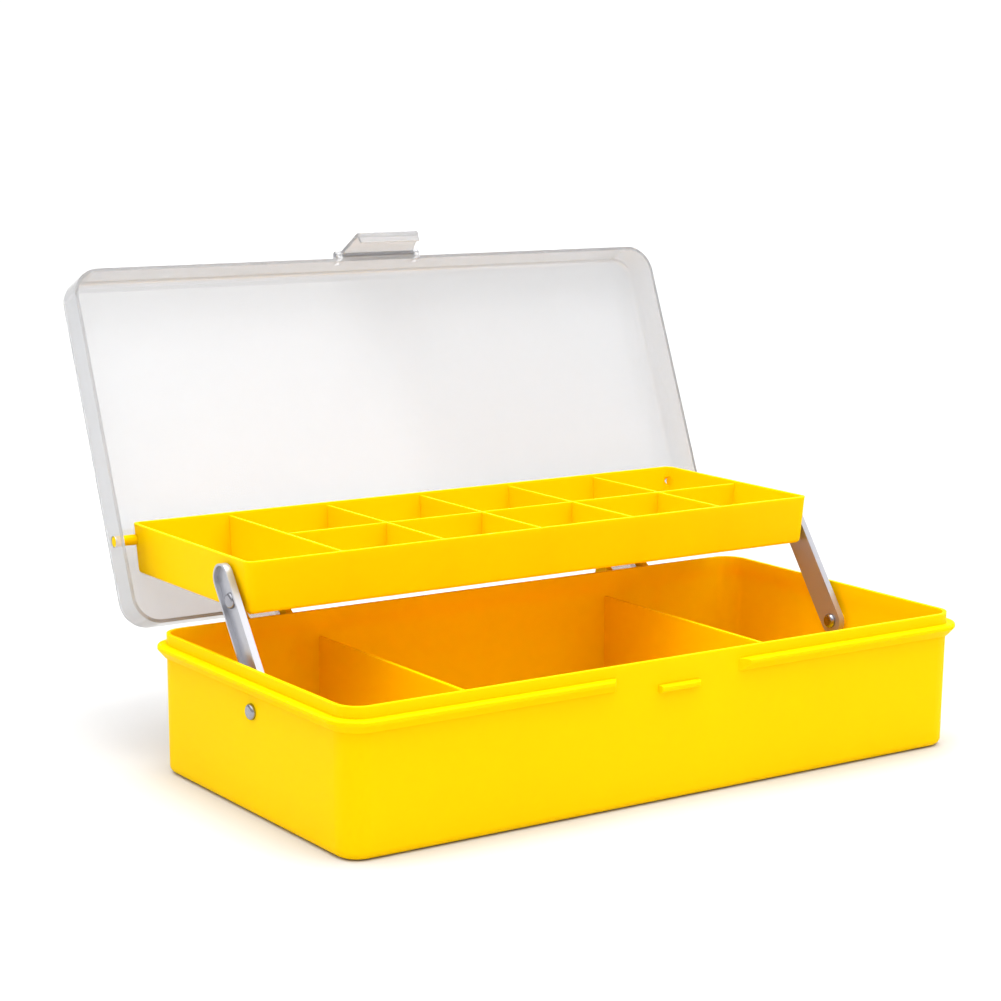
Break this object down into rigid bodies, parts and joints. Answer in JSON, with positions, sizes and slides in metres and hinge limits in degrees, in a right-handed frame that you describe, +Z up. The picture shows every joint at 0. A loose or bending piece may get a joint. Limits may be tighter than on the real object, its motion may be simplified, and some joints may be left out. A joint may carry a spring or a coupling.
{
  "type": "art supply box",
  "caption": "Open yellow plastic art supply box with a frosted hinged lid, a latch flap and a lift-out compartment tray carried on riveted channel arms",
  "frame": {"origin": "middle of the base's flat underside, where the box stands", "axes": "+X along the box to the right seen from the latch side, +Y to the hinged back, +Z up"},
  "size_m": [0.3894, 0.3015, 0.2655],
  "materials": {
    "yellow_plastic": "satin moulded",
    "frosted_plastic": "frosted translucent",
    "arm_metal": "satin pressed sheet",
    "rivet_metal": "bright"
  },
  "bodies": {
    "base": {"base_box": "yellow_plastic", "base_rivet_left": "rivet_metal", "base_rivet_right": "rivet_metal", "hinge_pin_left": "rivet_metal", "hinge_pin_right": "rivet_metal"},
    "lid": {"lid": "frosted_plastic", "latch_pin": "rivet_metal"},
    "latch": {"latch_flap": "frosted_plastic"},
    "arm_left": {"arm_left": "arm_metal"},
    "arm_right": {"arm_right": "arm_metal"},
    "tray": {"tray": "yellow_plastic", "tray_rivet_left": "rivet_metal", "tray_rivet_right": "rivet_metal", "tray_stud_left": "yellow_plastic", "tray_stud_right": "yellow_plastic"}
  },
  "joints": [
    {"name": "lid_hinge", "type": "hinge", "parent": "base", "child": "lid", "pos_m": [0, 0.1059, 0.0645], "axis": [1, 0, 0], "range_deg": [0, 111.9]},
    {"name": "latch_swing", "type": "hinge", "parent": "lid", "child": "latch", "pos_m": [0, 0.18934, 0.25222], "axis": [-1, 0, 0], "range_deg": [-21, 99]},
    {"name": "arm_left_swing", "type": "hinge", "parent": "base", "child": "arm_left", "pos_m": [0, -0.0045, 0.0523], "axis": [1, 0, 0], "range_deg": [0, 111.9]},
    {"name": "arm_right_swing", "type": "hinge", "parent": "base", "child": "arm_right", "pos_m": [0, -0.0045, 0.0523], "axis": [1, 0, 0], "range_deg": [0, 111.9]},
    {"name": "tray_level", "type": "hinge", "parent": "arm_left", "child": "tray", "pos_m": [0, 0.02877, 0.09981], "axis": [1, 0, 0], "range_deg": [-111.9, 0]}
  ],
  "couplings": [
    {"joint": "arm_left_swing", "follows": "lid_hinge", "ratio": 1},
    {"joint": "arm_right_swing", "follows": "lid_hinge", "ratio": 1},
    {"joint": "tray_level", "follows": "lid_hinge", "ratio": -1}
  ]
}
